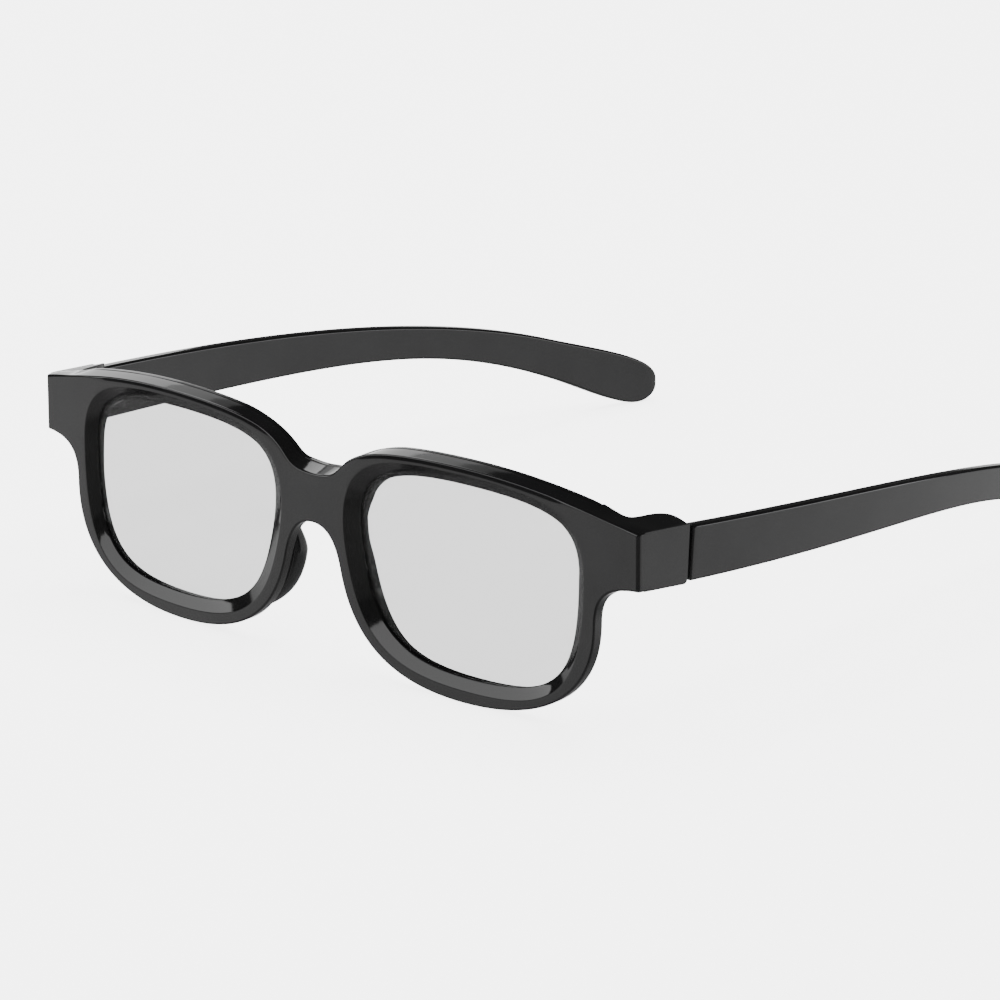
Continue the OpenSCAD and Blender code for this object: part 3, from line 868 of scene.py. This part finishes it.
def left_arm():
    """Left arm with its web and middle knuckle, bored for the pin."""
    sections = arm_sections()
    columns, rows = sections.shape[:2]
    faces = grid_faces(columns, rows, False, True)
    faces.append(tuple(range(rows)))
    faces.append(tuple((columns - 1) * rows + j for j in reversed(range(rows))))
    arm = new_object("left_arm", sections.reshape(-1, 3), faces)
    tidy_normals(arm)
    hinge = np.array([hinge_x, hinge_y])
    lug_high = hinge_z + knuckle_h / 2 + knuckle_gap + lug_t
    combined(arm, cylinder("clear", hinge, knuckle_r + knuckle_gap, 0, lug_high + knuckle_gap), "DIFFERENCE")
    low, high = hinge_z - knuckle_h / 2, hinge_z + knuckle_h / 2
    web_y = hinge_y + web_l
    web_x = float(arm_x(web_y)) - arm_t
    web_sink = 0.5
    plan = [hinge + knuckle_r * way(a) for a in np.linspace(web_angle, 360, 50)]
    plan += [(hinge_x + knuckle_r, end_d + arm_gap), (web_x + web_sink, web_y), (web_x - web_t, web_y)]
    web = prism("web", plan, low, high)
    tidy_normals(web)
    combined(arm, web, "UNION")
    bore_r, bore_low = pin_r + 0.05, 10
    combined(arm, cylinder("bore", hinge, bore_r, bore_low, brow_z), "DIFFERENCE")
    tidy_normals(arm)
    return arm


# Finishes

def finish(name):
    """New node material, with its nodes and links."""
    material = bpy.data.materials.new(name)
    material.use_nodes = True
    return material, material.node_tree.nodes, material.node_tree.links


def noise(nodes, links, scale, detail=3.0, roughness=0.5):
    """Noise fixed to the piece."""
    place = nodes.new("ShaderNodeTexCoord")
    texture = nodes.new("ShaderNodeTexNoise")
    texture.inputs["Scale"].default_value = scale
    texture.inputs["Detail"].default_value = detail
    texture.inputs["Roughness"].default_value = roughness
    links.new(place.outputs["Object"], texture.inputs["Vector"])
    return texture.outputs["Fac"]


def ranged(nodes, links, value, low, high):
    """Value spread from 0 and 1 to low and high."""
    step = nodes.new("ShaderNodeMapRange")
    step.inputs["To Min"].default_value = low
    step.inputs["To Max"].default_value = high
    links.new(value, step.inputs["Value"])
    return step.outputs["Result"]


def ramp(nodes, links, value, stops):
    """Colour that follows a value through stops of (position, colour)."""
    step = nodes.new("ShaderNodeValToRGB")
    for k, (position, colour) in enumerate(stops):
        stop = step.color_ramp.elements[k] if k < 2 else step.color_ramp.elements.new(position)
        stop.position = position
        stop.color = (*colour, 1)
    links.new(value, step.inputs["Fac"])
    return step.outputs["Color"]


def black_plastic():
    """Glossy black moulding with faint smears."""
    material, nodes, links = finish("black_plastic")
    shader = nodes["Principled BSDF"]
    dark, light = (0.003, 0.003, 0.0031), (0.005, 0.005, 0.0051)
    colour = ramp(nodes, links, noise(nodes, links, 90), [(0.3, dark), (0.7, light)])
    links.new(colour, shader.inputs["Base Color"])
    smears = noise(nodes, links, 160, 6, 0.65)
    links.new(ranged(nodes, links, smears, 0.05, 0.10), shader.inputs["Roughness"])
    shader.inputs["IOR"].default_value = 1.45
    bump = nodes.new("ShaderNodeBump")
    bump.inputs["Strength"].default_value = 0.15
    bump.inputs["Distance"].default_value = 0.00002
    links.new(noise(nodes, links, 700, 2), bump.inputs["Height"])
    links.new(bump.outputs["Normal"], shader.inputs["Normal"])
    return material


def lens_film(name, grey, alpha, roughness):
    """Thin see-through film; the alpha is the share of light that it holds back."""
    material, nodes, links = finish(name)
    shader = nodes["Principled BSDF"]
    dark = [c * 0.94 for c in grey]
    colour = ramp(nodes, links, noise(nodes, links, 45), [(0.3, dark), (0.7, grey)])
    links.new(colour, shader.inputs["Base Color"])
    haze = ranged(nodes, links, noise(nodes, links, 220), roughness * 0.8, roughness * 1.3)
    links.new(haze, shader.inputs["Roughness"])
    shader.inputs["Alpha"].default_value = alpha
    shader.inputs["IOR"].default_value = 1.25
    return material


def drawn_steel():
    """Bright wire of the hinge pins."""
    material, nodes, links = finish("pin_steel")
    shader = nodes["Principled BSDF"]
    shader.inputs["Metallic"].default_value = 1
    dark, light = (0.5, 0.5, 0.51), (0.66, 0.66, 0.67)
    colour = ramp(nodes, links, noise(nodes, links, 900), [(0.3, dark), (0.7, light)])
    links.new(colour, shader.inputs["Base Color"])
    links.new(ranged(nodes, links, noise(nodes, links, 2500), 0.22, 0.4), shader.inputs["Roughness"])
    return material


# Pieces on the frame

plastic = black_plastic()
retarder_look = lens_film("retarder_film", (0.03, 0.03, 0.03), 0.05, 0.06)
polariser_look = lens_film("polariser_film", (0.012, 0.012, 0.012), 0.41, 0.08)
steel = drawn_steel()


def dress(piece, body, node, look):
    """Gives a piece its finish and puts it on the frame in place of a node."""
    smoothed(piece)
    piece.data.materials.clear()
    piece.data.materials.append(look)
    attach(piece, body)
    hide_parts(node)


dress(front_shell(), "frame", "front_frame", plastic)
dress(rear_shell(), "frame", "rear_frame", plastic)

left_film = film("left_retarder_film", retarder_d, retarder_t)
left_sheet = film("left_polariser_sheet", polariser_d, polariser_t)
right_film = mirrored(left_film, "right_retarder_film")
right_sheet = mirrored(left_sheet, "right_polariser_sheet")
dress(left_film, "frame", "left_retarder", retarder_look)
dress(right_film, "frame", "right_retarder", retarder_look)
dress(left_sheet, "frame", "left_polariser", polariser_look)
dress(right_sheet, "frame", "right_polariser", polariser_look)

arm = left_arm()
right_arm = mirrored(arm, "right_arm_moulding")
arm.name = "left_arm_moulding"
dress(arm, "left_arm", "left_temple", plastic)
dress(right_arm, "right_arm", "right_temple", plastic)

for node in ("left_hinge_pin", "right_hinge_pin"):
    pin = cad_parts[node]
    pin.data.materials.clear()
    pin.data.materials.append(steel)


# Table, light and camera

def table():
    """Pale floor, a hair below the glasses."""
    size, below = 4.0, 0.00005
    corners = [(-size, -size, 0), (size, -size, 0), (size, size, 0), (-size, size, 0)]
    mesh = bpy.data.meshes.new("table")
    mesh.from_pydata(corners, [], [(0, 1, 2, 3)])
    floor = bpy.data.objects.new("table", mesh)
    floor.location.z = -below
    bpy.context.collection.objects.link(floor)
    material, nodes, links = finish("pale_table")
    shader = nodes["Principled BSDF"]
    dark, light = (0.93, 0.93, 0.93), (0.95, 0.95, 0.95)
    colour = ramp(nodes, links, noise(nodes, links, 3), [(0.3, dark), (0.7, light)])
    links.new(colour, shader.inputs["Base Color"])
    shader.inputs["Roughness"].default_value = 0.9
    shader.inputs["Specular IOR Level"].default_value = 0.1
    shader.inputs["Emission Color"].default_value = (1, 1, 1, 1)
    shader.inputs["Emission Strength"].default_value = 4.0
    mesh.materials.append(material)
    floor.visible_glossy = False


def panel(name, azimuth, elevation, distance, width, height, radiance):
    """Softbox that faces the glasses from a direction, in degrees from +X and above the table."""
    flat = math.cos(math.radians(elevation))
    toward = Vector((flat * way(azimuth)[0], flat * way(azimuth)[1], math.sin(math.radians(elevation))))
    data = bpy.data.lights.new(name, "AREA")
    data.shape = "RECTANGLE"
    data.size = width
    data.size_y = height
    data.energy = radiance * math.pi * width * height
    lamp = bpy.data.objects.new(name, data)
    lamp.location = toward * distance
    lamp.rotation_euler = toward.to_track_quat("Z", "Y").to_euler()
    bpy.context.collection.objects.link(lamp)
    return lamp


def studio():
    """World that is pale just below the horizon and dim above it and on one side, with softboxes round it."""
    world = bpy.data.worlds.new("studio")
    bpy.context.scene.world = world
    world.use_nodes = True
    nodes, links = world.node_tree.nodes, world.node_tree.links
    place = nodes.new("ShaderNodeTexCoord")
    split = nodes.new("ShaderNodeSeparateXYZ")
    links.new(place.outputs["Generated"], split.inputs["Vector"])
    height = nodes.new("ShaderNodeMapRange")
    height.inputs["From Min"].default_value = -1
    links.new(split.outputs["Z"], height.inputs["Value"])
    shade = [(0.0, 0.25), (0.2, 0.35), (0.34, 1.0), (0.5, 1.0), (0.515, 0.05)]
    sky = ramp(nodes, links, height.outputs["Result"], [(z, (v, v, v)) for z, v in shade])
    toward = nodes.new("ShaderNodeVectorMath")
    toward.operation = "DOT_PRODUCT"
    toward.inputs[1].default_value = (0.64, -0.77, 0)
    links.new(place.outputs["Generated"], toward.inputs[0])
    room = ramp(nodes, links, toward.outputs["Value"], [(0.6, (1, 1, 1)), (0.75, (0.15, 0.15, 0.15))])
    both = nodes.new("ShaderNodeMix")
    both.data_type = "RGBA"
    both.blend_type = "MULTIPLY"
    both.inputs["Factor"].default_value = 1
    links.new(sky, both.inputs["A"])
    links.new(room, both.inputs["B"])
    links.new(both.outputs["Result"], nodes["Background"].inputs["Color"])
    nodes["Background"].inputs["Strength"].default_value = 1.15
    overhead = panel("overhead", 90, 80, 1.5, 1.6, 1.6, 5.0)
    overhead.visible_glossy = False
    panel("back_left", 150.6, 13, 2.2, 1.24, 1.08, 2.0)
    panel("back_left_middle", 150.6, 30.5, 2.2, 1.24, 0.26, 1.0)
    panel("back_left_upper", 150.6, 36, 2.2, 1.24, 0.16, 0.4)
    panel("back_right", 46, 9, 2.2, 1.5, 0.5, 4.0)
    panel("high_left", 165, 45, 1.6, 0.8, 0.4, 4.0)
    panel("front_left", 240, 27, 1.2, 1.75, 0.5, 3.2)


def photo_camera():
    """Camera at the photo's angle."""
    data = bpy.data.cameras.new("photo_camera")
    focal_px, picture_px = 5859, 1000
    data.sensor_width = 36
    data.lens = focal_px * data.sensor_width / picture_px
    data.clip_start = 0.01
    camera = bpy.data.objects.new("photo_camera", data)
    place = (0.68926, -0.81664, 0.35985)
    yaw, pitch, roll = math.radians(41.28), math.radians(18.11), math.radians(0.07)
    turn = (Matrix.Rotation(yaw, 4, "Z") @ Matrix.Rotation(math.pi / 2 - pitch, 4, "X")
            @ Matrix.Rotation(-roll, 4, "Z"))
    camera.matrix_world = Matrix.Translation(place) @ turn
    bpy.context.collection.objects.link(camera)
    bpy.context.scene.camera = camera


table()
studio()
photo_camera()
